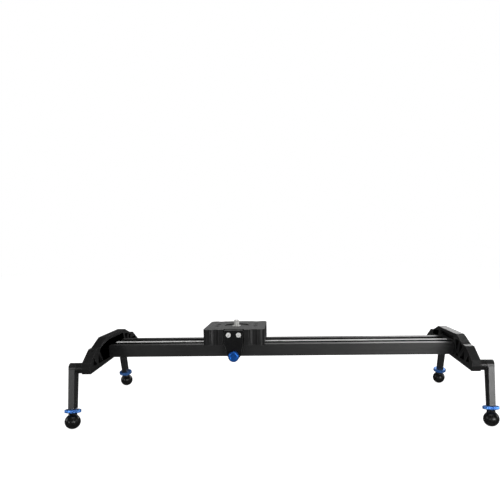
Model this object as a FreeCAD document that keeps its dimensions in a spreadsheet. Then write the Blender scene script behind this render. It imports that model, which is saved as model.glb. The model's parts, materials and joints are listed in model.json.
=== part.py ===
import FreeCAD, Part
import os

import Sketcher
from FreeCAD import Placement, Rotation, Vector

# A folding-leg camera slider: a long aluminium track between two bow-shaped end brackets, a
# roller carriage with a camera stud and a side lock, and four hinged legs on screw-in ball feet.
# +X runs along the track, -Y is the side of the lock knob, +Z is up. The origin is on the ground
# under the middle of the track.

SIZES = [
    ("track_length", 600, "track between the inner faces of the brackets"),
    ("track_width", 76, "track across both beams"),
    ("track_height", 20.5, "track from underside to beam tops"),
    ("track_floor_z", 97, "underside of the track above the ground"),
    ("beam_width", 14.5, "each side beam"),
    ("floor_thickness", 4.5, "track floor between the beams"),
    ("web_width", 11, "foot of the centre web that carries the guide strip"),
    ("web_neck_width", 6, "upper part of that web, between the rollers"),
    ("web_neck_height", 12, "where that upper part begins, above the underside"),
    ("screw_port", 5, "round screw ports of the extrusion"),
    ("web_port_height", 8, "screw port in the centre web above the underside"),
    ("chamber_width", 8.5, "hollow chambers in each beam"),
    ("chamber_height", 3.6, "hollow chambers in each beam"),
    ("beam_wall", 2.2, "beam skin over the chambers"),
    ("strip_width", 9, "polished guide strip over its round edges"),
    ("strip_thickness", 4, "polished guide strip"),
    ("bracket_thickness", 14, "bracket plate along the track"),
    ("bracket_floor", 6, "bracket skin behind the pockets"),
    ("crown_z", 134, "highest line of the bracket"),
    ("crown_half", 46, "half width of the flat crown, where its straight slope begins"),
    ("block_start_y", 77.5, "inner side of the end block, where the slope ends"),
    ("block_top_z", 122, "top of the end block, inner side"),
    ("block_corner_y", 90, "outer end of the block's top"),
    ("block_corner_z", 121.5, "outer end of the block's top"),
    ("nose_top_y", 117.5, "foot of the steep outer slope"),
    ("nose_top_z", 104, "foot of the steep outer slope"),
    ("nose_y", 121, "furthest reach of the bracket from the track's middle"),
    ("nose_z", 96, "height of that furthest reach"),
    ("toe_y", 119, "outer end of the block's underside"),
    ("toe_z", 87, "underside of the end block"),
    ("arch_half", 14, "half width of the flat under the track"),
    ("arch_z", 92.5, "underside of the bracket below the track"),
    ("crown_pocket_width", 68, "long pocket under the bracket's crown"),
    ("crown_pocket_height", 7.6, "that pocket's height"),
    ("crown_pocket_drop", 0.8, "that pocket's middle below halfway from track to crown"),
    ("tapped_depth", 15, "tapped holes in the bosses"),
    ("pivot_y", 108.4, "leg pivots from the track's middle"),
    ("pivot_z", 94.8, "leg pivots above the ground"),
    ("barrel_diameter", 17, "leg head and the boss it turns on"),
    ("boss_end", 24.2, "boss end face beyond the track's end"),
    ("washer_thickness", 0.8, "friction washer between boss and leg"),
    ("leg_centre", 31.5, "leg shaft's middle beyond the track's end"),
    ("leg_thickness", 9.6, "leg shaft along the track"),
    ("leg_top_width", 16.4, "leg shaft at the pivot"),
    ("leg_end_width", 14, "leg shaft at its lower end"),
    ("leg_length", 64.2, "pivot to the leg's lower end"),
    ("leg_groove_width", 5, "lightening groove down both broad faces of the leg"),
    ("leg_groove_depth", 1.1, "depth of that groove"),
    ("leg_groove_top", 15, "upper end of that groove below the pivot"),
    ("leg_groove_end", 57, "lower end of that groove below the pivot"),
    ("leg_splay", 12, "lean of each leg out from upright, degrees"),
    ("pivot_bore", 6.1, "hole in the leg head"),
    ("pivot_bolt", 6, "pivot bolt shank"),
    ("bolt_head", 10, "pivot bolt head"),
    ("bolt_head_depth", 3.2, "pivot bolt head, sunk in the leg"),
    ("bolt_head_play", 0.4, "room round and over the pivot bolt's head"),
    ("bolt_engagement", 14, "pivot bolt thread in the boss"),
    ("key_large", 4, "hexagon sockets of the pivot and bracket screws"),
    ("key_small", 3, "hexagon sockets of the other screws"),
    ("key_depth", 3, "reach of a hexagon socket's cutter"),
    ("foot_bore", 6.2, "hole up the leg for the foot's rod"),
    ("foot_bore_depth", 30, "depth of that hole"),
    ("rod_diameter", 6, "threaded rod of the foot"),
    ("rod_top", 42, "rod's upper end below the pivot"),
    ("ball_radius", 12, "rubber ball foot"),
    ("ball_depth", 84.65, "pivot to the ball's centre, along the leg"),
    ("collar_diameter", 13, "moulded neck on top of the ball"),
    ("collar_height", 1.6, "moulded neck above the ball"),
    ("nut_diameter", 25, "knurled lock nut"),
    ("nut_thickness", 5.5, "knurled lock nut"),
    ("nut_bore", 6.1, "bore of the lock nut, thread crests left out"),
    ("nut_gap", 0.2, "lock nut to the leg or the ball's neck"),
    ("nut_notches", 36, "coarse knurl on the nut's rim"),
    ("nut_notch", 1.6, "diameter of each notch of the knurl"),
    ("nut_notch_sink", 0.5, "depth of each notch"),
    ("carriage_x", -79.5, "carriage's rest position along the track"),
    ("carriage_length", 105, "carriage along the track"),
    ("carriage_depth", 104, "carriage across the track"),
    ("carriage_base_z", 118.8, "underside of the carriage"),
    ("carriage_top_z", 146, "top face of the carriage"),
    ("carriage_corner", 7, "radius of the carriage's upright corners"),
    ("roof_thickness", 9, "carriage above its cavity"),
    ("cavity_length", 90, "cavity under the carriage"),
    ("cavity_depth", 80, "cavity under the carriage"),
    ("scallop_radius", 10.5, "hollows in the front and back faces"),
    ("scallop_offset", 33.5, "hollows from the carriage's middle"),
    ("scallop_sink", 3, "depth of those hollows"),
    ("notch_width", 35, "notch for the clamp block"),
    ("notch_depth", 6.5, "notch for the clamp block"),
    ("relief_depth", 1.5, "shallow relief behind the clamp block's upper edge"),
    ("relief_height", 4, "that relief below the top face"),
    ("slot_width", 3.4, "slot across the back of the top face"),
    ("slot_inset", 7, "that slot from the back face"),
    ("slot_sink", 2.4, "depth of that slot"),
    ("disc_recess", 44, "round recess in the top face"),
    ("disc_sink", 1.6, "depth of that recess"),
    ("post_diameter", 13, "posts that carry the rollers"),
    ("post_end_z", 119.6, "lower end of those posts"),
    ("roller_x", 34, "rollers from the carriage's middle"),
    ("roller_radius", 7, "roller over its flanges"),
    ("roller_width", 6, "roller along its axle"),
    ("groove_radius", 2.1, "round groove in the roller"),
    ("groove_sink", 1.2, "depth of that groove"),
    ("ring_gap_outer", 4.5, "outer ring's bore radius"),
    ("ring_gap_inner", 4.2, "inner ring's outer radius"),
    ("axle_diameter", 5, "roller bolts"),
    ("axle_head", 9.2, "countersunk heads of the roller bolts"),
    ("axle_cone", 2.7, "height of those heads"),
    ("axle_sink", 0.5, "those heads below the top face"),
    ("spacer_wall", 1.4, "spacers between posts and inner rings"),
    ("axle_end_z", 107.6, "lower end of the roller bolts"),
    ("axle_nut_flats", 8, "roller bolt nuts across flats"),
    ("axle_nut_height", 4, "roller bolt nuts"),
    ("stud_diameter", 9.525, "3/8 inch camera stud"),
    ("stud_top_z", 155.8, "top of the camera stud"),
    ("stud_collar", 15, "collar at the foot of the stud"),
    ("stud_collar_height", 1.2, "thickness of that collar"),
    ("stud_below", 2, "stud's lower end below its nut"),
    ("stud_nut_flats", 14.3, "nut under the stud, across flats"),
    ("stud_nut_height", 6, "nut under the stud"),
    ("clamp_width", 31, "clamp block along the track"),
    ("clamp_front_y", 54, "front face of the clamp block"),
    ("clamp_thickness", 8.5, "upper part of the clamp block"),
    ("clamp_top_z", 145.2, "top of the clamp block"),
    ("hanger_width", 27, "lower part of the clamp block"),
    ("hanger_back_y", 40, "back of the part that hangs beside the track"),
    ("hanger_end_z", 95.2, "lower end of the clamp block"),
    ("hanger_side_z", 103, "lower end of its straight sides"),
    ("hanger_foot", 15, "width of its lower end"),
    ("clamp_screw_x", 8.7, "clamp block screws from its middle"),
    ("clamp_screw_z", 137, "clamp block screws"),
    ("clamp_screw_head", 8.4, "clamp block screw heads"),
    ("clamp_screw_shank", 4.5, "clamp block screw shanks"),
    ("clamp_screw_length", 13, "clamp block screws under the head"),
    ("clamp_seat_depth", 1.2, "screw heads sunk in the clamp block"),
    ("clamp_head_height", 2.8, "clamp block screw heads"),
    ("clamp_step_height", 1.5, "wide part of the clamp block above the track"),
    ("hanger_top", 14, "upper end of the hanging part above the track's underside"),
    ("lock_z", 100.6, "lock screw above the ground"),
    ("lock_screw", 5, "lock screw"),
    ("knob_diameter", 18.6, "lock knob"),
    ("knob_length", 9, "lock knob"),
    ("knob_flutes", 24, "grip flutes round the lock knob"),
    ("knob_flute", 1.9, "diameter of each flute"),
    ("knob_flute_sink", 0.6, "depth of each flute"),
    ("knob_gap", 1.2, "knob to the clamp block"),
    ("knob_skirt", 1.5, "plain skirt of the knob behind its flutes"),
    ("knob_cap", 2.5, "knob's front wall over the screw's end"),
    ("pad_diameter", 6.4, "brass brake pad"),
    ("pad_thickness", 2.4, "brass brake pad"),
    ("pad_gap", 0.5, "pad to the track with the knob slack"),
    ("pad_well_depth", 1.5, "well in the clamp block for the pad"),
    ("tripod_bore", 6.35, "1/4 inch tripod thread, taken at its major diameter"),
    ("tripod_bush", 10, "steel bush round the tripod thread"),
    ("tripod_depth", 12, "steel bush length"),
    ("bracket_screw_head", 9.5, "heads of the screws that hold a bracket"),
    ("bracket_screw_head_height", 4.4, "those heads"),
    ("bracket_screw_sink", 5, "counterbores for those heads"),
    ("bracket_screw_length", 26, "screws that hold a bracket, under the head"),
    ("end_chamfer", 1, "chamfered ends of rods and studs"),
    ("thread_play", 0.1, "play round screws in plain holes, and between stacked pieces"),
    ("through", 60, "reach of tools that cut right through the carriage"),
]

doc = FreeCAD.newDocument("camera_slider")
sheet = doc.addObject("Spreadsheet::Sheet", "Sizes")
for row, (alias, value, meaning) in enumerate(SIZES, start=1):
    sheet.set(f"A{row}", meaning)
    sheet.set(f"B{row}", str(value))
    sheet.setAlias(f"B{row}", alias)
doc.recompute()

subparts = []
LEAST_CUT = 0.01
SIDES = {"left": -1, "right": 1}
ENDS = {"front": -1, "back": 1}
ALONG_X = Rotation(Vector(0, 1, 0), 90)
ALONG_Y = Rotation(Vector(1, 0, 0), -90)
TOWARDS_FRONT = Rotation(Vector(1, 0, 0), 90)


def formula(text):
    """Turn a formula in plain size names into one that reads the sheet."""
    words = []
    word = ""
    for letter in text + " ":
        if letter.isalnum() or letter in "_.":
            word += letter
            continue
        named = word[:1].isalpha() and word not in ("cos", "sin", "tan", "deg")
        words.append("Sizes." + word if named else word)
        words.append(letter)
        word = ""
    return "".join(words).strip()


def number(text):
    """The value of a formula, as a plain number."""
    value = sheet.evalExpression(formula(text))
    return float(value.Value) if hasattr(value, "Value") else float(value)


def bind(feature, **formulas):
    """Bind properties of a feature to formulas in the sheet's names."""
    for name, text in formulas.items():
        feature.setExpression(name, formula(text))
    return feature


def place(feature, x="0", y="0", z="0", rotation=None):
    """Put a feature at a place given by formulas, with a fixed rotation."""
    feature.Placement = Placement(Vector(0, 0, 0), rotation or Rotation())
    for axis, text in (("x", x), ("y", y), ("z", z)):
        feature.setExpression(f"Placement.Base.{axis}", formula(text))
    return feature


def finish(feature, label):
    """Name a feature as a sub-part of its own."""
    feature.Label = label
    subparts.append(feature)
    return feature


# Part primitives, each bound to the sheet.

def cylinder(name, radius, height, x="0", y="0", z="0", rotation=None):
    shape = doc.addObject("Part::Cylinder", name)
    bind(shape, Radius=radius, Height=height)
    return place(shape, x, y, z, rotation)


def cone(name, radius_low, radius_high, height, x="0", y="0", z="0", rotation=None):
    shape = doc.addObject("Part::Cone", name)
    bind(shape, Radius1=radius_low, Radius2=radius_high, Height=height)
    return place(shape, x, y, z, rotation)


def box(name, length, width, height, x="0", y="0", z="0"):
    """A box centred on x and y that stands on z."""
    shape = doc.addObject("Part::Box", name)
    bind(shape, Length=length, Width=width, Height=height)
    return place(shape, f"({x}) - ({length}) / 2", f"({y}) - ({width}) / 2", z)


def hexagon(name, flats, height, x="0", y="0", z="0"):
    shape = doc.addObject("Part::Prism", name)
    shape.Polygon = 6
    bind(shape, Circumradius=f"({flats}) / 1.7320508", Height=height)
    return place(shape, x, y, z)


def cut(name, base, tool):
    result = doc.addObject("Part::Cut", name)
    result.Base = base
    result.Tool = tool
    return result


def fuse(name, shapes):
    result = doc.addObject("Part::MultiFuse", name)
    result.Shapes = shapes
    return result


def group(name, shapes):
    """Equal pieces that stay separate solids in one sub-part."""
    result = doc.addObject("Part::Compound", name)
    result.Links = shapes
    return finish(result, name)


# PartDesign bodies.

def new_body(name):
    return doc.addObject("PartDesign::Body", name)


def new_sketch(body, name, plane, lift="0"):
    """A sketch on one of the body's own origin planes, lifted along the plane's normal."""
    sketch = body.newObject("Sketcher::SketchObject", name)
    origin_plane = [item for item in body.Origin.OriginFeatures if item.Role == plane][0]
    sketch.AttachmentSupport = [(origin_plane, "")]
    sketch.MapMode = "FlatFace"
    sketch.setExpression("AttachmentOffset.Base.z", formula(lift))
    return sketch


def outline(sketch, corners):
    """Draw a closed polygon through corners given as pairs of formulas."""
    points = [Vector(number(x), number(y), 0) for x, y in corners]
    count = len(points)
    first = sketch.GeometryCount
    for index in range(count):
        sketch.addGeometry(Part.LineSegment(points[index], points[(index + 1) % count]), False)
    for index, (x, y) in enumerate(corners):
        line = first + index
        following = first + (index + 1) % count
        sketch.addConstraint(Sketcher.Constraint("Coincident", line, 2, following, 1))
        for kind, text, value in (("DistanceX", x, points[index].x), ("DistanceY", y, points[index].y)):
            rule = sketch.addConstraint(Sketcher.Constraint(kind, -1, 1, line, 1, value))
            sketch.setExpression(f"Constraints[{rule}]", formula(text))


def circle(sketch, x, y, diameter):
    """Draw a circle from formulas."""
    centre = Vector(number(x), number(y), 0)
    ring = sketch.addGeometry(Part.Circle(centre, Vector(0, 0, 1), number(diameter) / 2), False)
    rules = (("DistanceX", x, centre.x), ("DistanceY", y, centre.y))
    for kind, text, value in rules:
        rule = sketch.addConstraint(Sketcher.Constraint(kind, -1, 1, ring, 3, value))
        sketch.setExpression(f"Constraints[{rule}]", formula(text))
    rule = sketch.addConstraint(Sketcher.Constraint("Diameter", ring, number(diameter)))
    sketch.setExpression(f"Constraints[{rule}]", formula(diameter))


def rectangle(sketch, x, y, width, height):
    """Draw a rectangle centred on a point, from formulas."""
    left, right = f"({x}) - ({width}) / 2", f"({x}) + ({width}) / 2"
    low, high = f"({y}) - ({height}) / 2", f"({y}) + ({height}) / 2"
    outline(sketch, [(left, low), (right, low), (right, high), (left, high)])


def pad(body, name, sketch, length, midplane=False, reverse=False):
    feature = body.newObject("PartDesign::Pad", name)
    feature.Profile = sketch
    bind(feature, Length=length)
    feature.Midplane = midplane
    feature.Reversed = reverse
    body.Tip = feature
    doc.recompute()
    return feature


def pocket(body, name, sketch, depth, reverse=False):
    """Cut a pocket, and make sure that it took material away."""
    before = body.Shape.Volume
    feature = body.newObject("PartDesign::Pocket", name)
    feature.Profile = sketch
    bind(feature, Length=depth)
    feature.Reversed = reverse
    body.Tip = feature
    doc.recompute()
    if body.Shape.Volume > before - LEAST_CUT:
        raise RuntimeError(f"{name} cuts nothing")
    return feature


def notch_round(body, name, feature, count):
    """Repeat a pocket round the body's own Z axis."""
    pattern = body.newObject("PartDesign::PolarPattern", name)
    pattern.Originals = [feature]
    z_axis = [item for item in body.Origin.OriginFeatures if item.Role == "Z_Axis"][0]
    pattern.Axis = (z_axis, [""])
    pattern.Angle = 360
    bind(pattern, Occurrences=count)
    body.Tip = pattern
    doc.recompute()


# Track: one extrusion with two hollow beams, a floor and a centre web.

def build_track():
    body = new_body("track_extrusion")
    profile = new_sketch(body, "track_profile", "YZ_Plane")
    beam_inner = "track_width / 2 - beam_width"
    floor_top = "track_floor_z + floor_thickness"
    web_top = "track_floor_z + track_height - strip_thickness"
    half = [
        ("web_neck_width / 2", web_top),
        ("web_neck_width / 2", "track_floor_z + web_neck_height"),
        ("web_width / 2", "track_floor_z + web_neck_height"),
        ("web_width / 2", floor_top),
        (beam_inner, floor_top),
        (beam_inner, "track_floor_z + track_height"),
        ("track_width / 2", "track_floor_z + track_height"),
        ("track_width / 2", "track_floor_z"),
    ]
    mirrored = [(f"-({y})", z) for y, z in reversed(half)]
    outline(profile, half + mirrored)
    beam_middle = "track_width / 2 - beam_width / 2"
    port_z = "track_floor_z + track_height / 2"
    circle(profile, "0", "track_floor_z + web_port_height", "screw_port")
    for side in ("", "-"):
        middle = f"{side}({beam_middle})"
        circle(profile, middle, port_z, "screw_port")
        for edge in ("track_floor_z + beam_wall + chamber_height / 2",
                     "track_floor_z + track_height - beam_wall - chamber_height / 2"):
            rectangle(profile, middle, edge, "chamber_width", "chamber_height")
    pad(body, "track_pad", profile, "track_length", midplane=True)
    bush_hole = new_sketch(body, "bush_hole", "XY_Plane", "track_floor_z")
    circle(bush_hole, "0", "0", "tripod_bush")
    pocket(body, "bush_pocket", bush_hole, "tripod_depth", reverse=True)
    finish(body, "track_extrusion")


def build_guide_strip():
    middle_z = "track_floor_z + track_height - strip_thickness / 2"
    flat = box("strip_flat", "track_length", "strip_width - strip_thickness", "strip_thickness",
               z="track_floor_z + track_height - strip_thickness")
    edges = []
    for end, side in (("front", "-"), ("back", "")):
        edge_y = f"{side}(strip_width / 2 - strip_thickness / 2)"
        edges.append(cylinder(f"strip_edge_{end}", "strip_thickness / 2", "track_length",
                              "-track_length / 2", edge_y, middle_z, ALONG_X))
    finish(fuse("guide_strip", [flat] + edges), "guide_strip")


def build_tripod_bush():
    outer = cylinder("bush_outer", "tripod_bush / 2", "tripod_depth", z="track_floor_z")
    bore = cylinder("bush_bore", "tripod_bore / 2", "tripod_depth", z="track_floor_z")
    finish(cut("tripod_bush", outer, bore), "tripod_bush")


# Brackets: one bow-shaped casting for each end, drawn for the right and turned round for the left.

RIB_POCKETS = [
    [("42", "126"), ("61", "124.5"), ("50", "104")],
    [("66", "122.5"), ("78.5", "117.5"), ("60", "102.5")],
    [("46", "97.5"), ("60", "97"), ("57", "106")],
    [("66.5", "97"), ("86", "96.5"), ("84", "113.5")],
    [("91", "96.5"), ("106.5", "97"), ("104", "111.5")],
]


def bracket_outline():
    half = [
        ("crown_half", "crown_z"),
        ("block_start_y", "block_top_z"),
        ("block_corner_y", "block_corner_z"),
        ("nose_top_y", "nose_top_z"),
        ("nose_y", "nose_z"),
        ("toe_y", "toe_z"),
        ("arch_half", "arch_z"),
    ]
    return half + [(f"-({y})", z) for y, z in reversed(half)]


def build_bracket(side, sign):
    body = new_body(f"bracket_{side}")
    plate = new_sketch(body, f"plate_{side}", "YZ_Plane")
    outline(plate, bracket_outline())
    pad(body, f"plate_pad_{side}", plate, "bracket_thickness")

    bosses = new_sketch(body, f"bosses_{side}", "YZ_Plane", "bracket_thickness")
    for mirror in ("", "-"):
        circle(bosses, f"{mirror}pivot_y", "pivot_z", "barrel_diameter")
    pad(body, f"bosses_pad_{side}", bosses, "boss_end - bracket_thickness")

    ribs = new_sketch(body, f"ribs_{side}", "YZ_Plane")
    rectangle(ribs, "0", "(crown_z + track_floor_z + track_height) / 2 - crown_pocket_drop",
              "crown_pocket_width", "crown_pocket_height")
    for mirror in ("", "-"):
        for corners in RIB_POCKETS:
            outline(ribs, [(f"{mirror}{y}", z) for y, z in corners])
    pocket(body, f"ribs_pocket_{side}", ribs, "bracket_thickness - bracket_floor", reverse=True)

    tapped = new_sketch(body, f"tapped_{side}", "YZ_Plane", "boss_end")
    for mirror in ("", "-"):
        circle(tapped, f"{mirror}pivot_y", "pivot_z", "pivot_bolt")
    pocket(body, f"tapped_pocket_{side}", tapped, "tapped_depth")

    holes = new_sketch(body, f"holes_{side}", "YZ_Plane")
    heads = new_sketch(body, f"heads_{side}", "YZ_Plane", "bracket_thickness")
    for y, z in screw_places():
        circle(holes, y, z, "screw_port + 2 * thread_play")
        circle(heads, y, z, "bracket_screw_head + 4 * thread_play")
    pocket(body, f"holes_pocket_{side}", holes, "bracket_thickness", reverse=True)
    pocket(body, f"heads_pocket_{side}", heads, "bracket_screw_sink")

    place(body, x=f"{sign} * track_length / 2", rotation=turned(sign))
    finish(body, f"bracket_{side}")


def screw_places():
    beam_middle = "track_width / 2 - beam_width / 2"
    return [
        ("0", "track_floor_z + web_port_height"),
        (beam_middle, "track_floor_z + track_height / 2"),
        (f"-({beam_middle})", "track_floor_z + track_height / 2"),
    ]


def turned(sign):
    """No turn for the right end, and half a turn about Z for the left."""
    return Rotation(Vector(0, 0, 1), 0 if sign > 0 else 180)


def build_bracket_screws(side, sign):
    """Cap screws along X, with their heads in the bracket's counterbores."""
    screws = []
    for index, (y, z) in enumerate(screw_places()):
        start = f"{sign} * (track_length / 2 + bracket_thickness - bracket_screw_sink + thread_play)"
        outwards = Rotation(Vector(0, 1, 0), 90 * sign)
        inwards = Rotation(Vector(0, 1, 0), -90 * sign)
        head = cylinder(f"head_{side}_{index}", "bracket_screw_head / 2", "bracket_screw_head_height",
                        start, y, z, outwards)
        socket = hexagon(f"socket_{side}_{index}", "key_large", "key_depth")
        place(socket, f"{sign} * (track_length / 2 + bracket_thickness - key_depth)", y, z, outwards)
        shank = cylinder(f"shank_{side}_{index}", "(screw_port - thread_play) / 2",
                         "bracket_screw_length", start, y, z, inwards)
        solid = fuse(f"screw_{side}_{index}", [head, shank])
        screws.append(cut(f"screw_socketed_{side}_{index}", solid, socket))
    group(f"bracket_screws_{side}", screws)


# Legs, each drawn upright about its pivot for the right end, then turned and splayed.

def corner_name(end, side):
    return f"{end}_{side}"


def leg_placement(body, end, side):
    """Put a piece drawn in the leg's own frame, with its origin on the pivot, where the leg is."""
    lean = Rotation(Vector(1, 0, 0), ENDS[end] * number("leg_splay"))
    return place(body, f"{SIDES[side]} * (track_length / 2 + leg_centre)", f"{ENDS[end]} * pivot_y",
                 "pivot_z", lean.multiply(turned(SIDES[side])))


def build_leg(end, side):
    corner = corner_name(end, side)
    body = new_body(f"leg_{corner}")
    shaft = new_sketch(body, f"shaft_{corner}", "YZ_Plane")
    outline(shaft, [("-leg_top_width / 2", "0"), ("-leg_end_width / 2", "-leg_length"),
                    ("leg_end_width / 2", "-leg_length"), ("leg_top_width / 2", "0")])
    pad(body, f"shaft_pad_{corner}", shaft, "leg_thickness", midplane=True)

    inner_face = "boss_end + washer_thickness - leg_centre"
    head = new_sketch(body, f"head_{corner}", "YZ_Plane", inner_face)
    circle(head, "0", "0", "barrel_diameter")
    pad(body, f"head_pad_{corner}", head, f"leg_thickness / 2 - ({inner_face})")

    bore = new_sketch(body, f"bore_{corner}", "YZ_Plane", inner_face)
    circle(bore, "0", "0", "pivot_bore")
    pocket(body, f"bore_pocket_{corner}", bore, "leg_thickness * 2", reverse=True)
    sunk = new_sketch(body, f"sunk_{corner}", "YZ_Plane", "leg_thickness / 2")
    circle(sunk, "0", "0", "bolt_head + bolt_head_play")
    pocket(body, f"sunk_pocket_{corner}", sunk, "bolt_head_depth + bolt_head_play")
    for face, lift, inwards in (("outer", "leg_thickness / 2", False),
                                ("inner", "-leg_thickness / 2", True)):
        groove = new_sketch(body, f"groove_{face}_{corner}", "YZ_Plane", lift)
        rectangle(groove, "0", "-(leg_groove_top + leg_groove_end) / 2", "leg_groove_width",
                  "leg_groove_end - leg_groove_top")
        pocket(body, f"groove_pocket_{face}_{corner}", groove, "leg_groove_depth", reverse=inwards)
    rod_hole = new_sketch(body, f"rod_hole_{corner}", "XY_Plane", "-leg_length")
    circle(rod_hole, "0", "0", "foot_bore")
    pocket(body, f"rod_pocket_{corner}", rod_hole, "foot_bore_depth", reverse=True)
    leg_placement(body, end, side)
    finish(body, f"leg_{corner}")


def build_pivot_bolt(end, side):
    """A socket bolt whose head lies in the leg and whose shank is screwed into the boss."""
    corner = corner_name(end, side)
    seat = "leg_thickness / 2 - bolt_head_depth"
    tip = "boss_end - leg_centre - bolt_engagement"
    head = cylinder(f"pivot_head_{corner}", "bolt_head / 2", "bolt_head_depth - bolt_head_play", seat,
                    rotation=ALONG_X)
    shank = cylinder(f"pivot_shank_{corner}", "pivot_bolt / 2", f"{seat} - ({tip})", tip,
                     rotation=ALONG_X)
    socket = hexagon(f"pivot_socket_{corner}", "key_large", "key_depth")
    place(socket, "leg_thickness / 2 - key_depth + bolt_head_play", rotation=ALONG_X)
    solid = fuse(f"pivot_solid_{corner}", [head, shank])
    bolt = cut(f"pivot_bolt_{corner}", solid, socket)
    leg_placement(bolt, end, side)
    finish(bolt, f"pivot_bolt_{corner}")


def build_washers():
    washers = []
    for end in ENDS:
        for side in SIDES:
            corner = corner_name(end, side)
            disc = cylinder(f"washer_disc_{corner}", "(barrel_diameter - end_chamfer) / 2",
                            "washer_thickness - thread_play", "boss_end - leg_centre",
                            rotation=ALONG_X)
            hole = cylinder(f"washer_hole_{corner}", "pivot_bolt / 2", "washer_thickness * 3",
                            "boss_end - leg_centre - washer_thickness", rotation=ALONG_X)
            washer = cut(f"washer_{corner}", disc, hole)
            washers.append(leg_placement(washer, end, side))
    group("pivot_washers", washers)


# Feet: a threaded rod moulded into a rubber ball, with a knurled lock nut on the rod.

def build_foot_rod(end, side):
    corner = corner_name(end, side)
    thread = cylinder(f"rod_thread_{corner}", "rod_diameter / 2", "ball_depth - rod_top - end_chamfer",
                      z="-ball_depth")
    tip = cone(f"rod_tip_{corner}", "rod_diameter / 2", "rod_diameter / 2 - end_chamfer", "end_chamfer",
               z="-rod_top - end_chamfer")
    rod = fuse(f"rod_{corner}", [thread, tip])
    leg_placement(rod, end, side)
    finish(rod, f"foot_rod_{corner}")


def build_foot_ball(end, side):
    corner = corner_name(end, side)
    ball = doc.addObject("Part::Sphere", f"ball_{corner}")
    bind(ball, Radius="ball_radius")
    place(ball, z="-ball_depth")
    neck = cylinder(f"neck_{corner}", "collar_diameter / 2", "ball_radius + collar_height",
                    z="-ball_depth")
    rubber = fuse(f"rubber_{corner}", [ball, neck])
    core = cylinder(f"core_{corner}", "rod_diameter / 2", "ball_radius * 2", z="-ball_depth")
    foot = cut(f"foot_ball_{corner}", rubber, core)
    leg_placement(foot, end, side)
    finish(foot, f"foot_ball_{corner}")


def build_lock_nut(end, side):
    """The nut on the front left foot is run down to the ball, and the others up to the leg."""
    corner = corner_name(end, side)
    run_down = corner == corner_name("front", "left")
    above_ball = "ball_radius + collar_height + nut_gap + nut_thickness / 2 - ball_depth"
    below_leg = "-leg_length - nut_gap - nut_thickness / 2"
    middle = above_ball if run_down else below_leg
    body = new_body(f"lock_nut_{corner}")
    disc = new_sketch(body, f"nut_disc_{corner}", "XY_Plane", middle)
    circle(disc, "0", "0", "nut_diameter")
    circle(disc, "0", "0", "nut_bore")
    pad(body, f"nut_pad_{corner}", disc, "nut_thickness", midplane=True)
    notch = new_sketch(body, f"nut_notch_{corner}", "XY_Plane", f"{middle} + nut_thickness / 2")
    circle(notch, "(nut_diameter + nut_notch) / 2 - nut_notch_sink", "0", "nut_notch")
    cutter = pocket(body, f"nut_cutter_{corner}", notch, "nut_thickness")
    notch_round(body, f"nut_knurl_{corner}", cutter, "nut_notches")
    leg_placement(body, end, side)
    finish(body, f"lock_nut_{corner}")


# Carriage.

def roller_places():
    across = "strip_width / 2 - strip_thickness / 2 + roller_radius + groove_radius - groove_sink"
    places = []
    for end, sign_y in ENDS.items():
        for side, sign_x in SIDES.items():
            x = f"carriage_x + {sign_x} * roller_x"
            places.append((corner_name(end, side), x, f"{sign_y} * ({across})"))
    return places


def build_carriage_body():
    tall = "carriage_top_z - carriage_base_z"
    block = box("carriage_block", "carriage_length", "carriage_depth", tall, "carriage_x", "0",
                "carriage_base_z")
    rounded = doc.addObject("Part::Fillet", "carriage_rounded")
    rounded.Base = block
    doc.recompute()
    radius = number("carriage_corner")
    rounded.Edges = [(index, radius, radius) for index, edge in enumerate(block.Shape.Edges, start=1)
                     if abs(edge.tangentAt(edge.FirstParameter).z) > 0.99]

    cavity = box("cavity_box", "cavity_length", "cavity_depth", f"{tall} - roof_thickness",
                 "carriage_x", "0", "carriage_base_z")
    posts = []
    holes = []
    for corner, x, y in roller_places():
        posts.append(cylinder(f"post_{corner}", "post_diameter / 2", tall, x, y, "post_end_z"))
        holes.append(cylinder(f"axle_hole_{corner}", "(axle_diameter + thread_play) / 2", "through", x, y,
                              "track_floor_z"))
        holes.append(cone(f"axle_sink_{corner}", "axle_diameter / 2", "axle_head / 2 + thread_play",
                          "axle_cone", x, y, "carriage_top_z - axle_sink - axle_cone"))
        holes.append(cylinder(f"axle_mouth_{corner}", "axle_head / 2 + thread_play", "axle_sink", x, y,
                              "carriage_top_z - axle_sink"))
    cavity_open = cut("cavity_open", cavity, fuse("posts", posts))

    tools = [cavity_open] + holes
    tools.append(cylinder("stud_hole", "stud_diameter / 2 + thread_play", "through", "carriage_x", "0",
                          "track_floor_z"))
    tools.append(cylinder("disc_hole", "disc_recess / 2", "disc_sink", "carriage_x", "0",
                          "carriage_top_z - disc_sink"))
    tools.append(box("clamp_notch", "notch_width", "notch_depth", "through", "carriage_x",
                     "(notch_depth - carriage_depth) / 2", "track_floor_z"))
    tools.append(box("clamp_relief", "notch_width", "relief_depth", "relief_height", "carriage_x",
                     "notch_depth + (relief_depth - carriage_depth) / 2",
                     "carriage_top_z - relief_height"))
    tools.append(box("back_slot", "notch_width", "slot_width", "slot_sink", "carriage_x",
                     "carriage_depth / 2 - slot_inset", "carriage_top_z - slot_sink"))
    for side, sign_x in SIDES.items():
        for end, sign_y in ENDS.items():
            tools.append(cylinder(
                f"scallop_{end}_{side}", "scallop_radius", "through",
                f"carriage_x + {sign_x} * scallop_offset",
                f"{sign_y} * (carriage_depth / 2 + scallop_radius - scallop_sink)", "track_floor_z"))
        tools.append(cylinder(f"clamp_hole_{side}", "(clamp_screw_shank + thread_play) / 2",
                              "clamp_screw_length", f"carriage_x + {sign_x} * clamp_screw_x",
                              "notch_depth - carriage_depth / 2", "clamp_screw_z", ALONG_Y))
    finish(cut("carriage_body", rounded, fuse("carriage_tools", tools)), "carriage_body")


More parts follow.
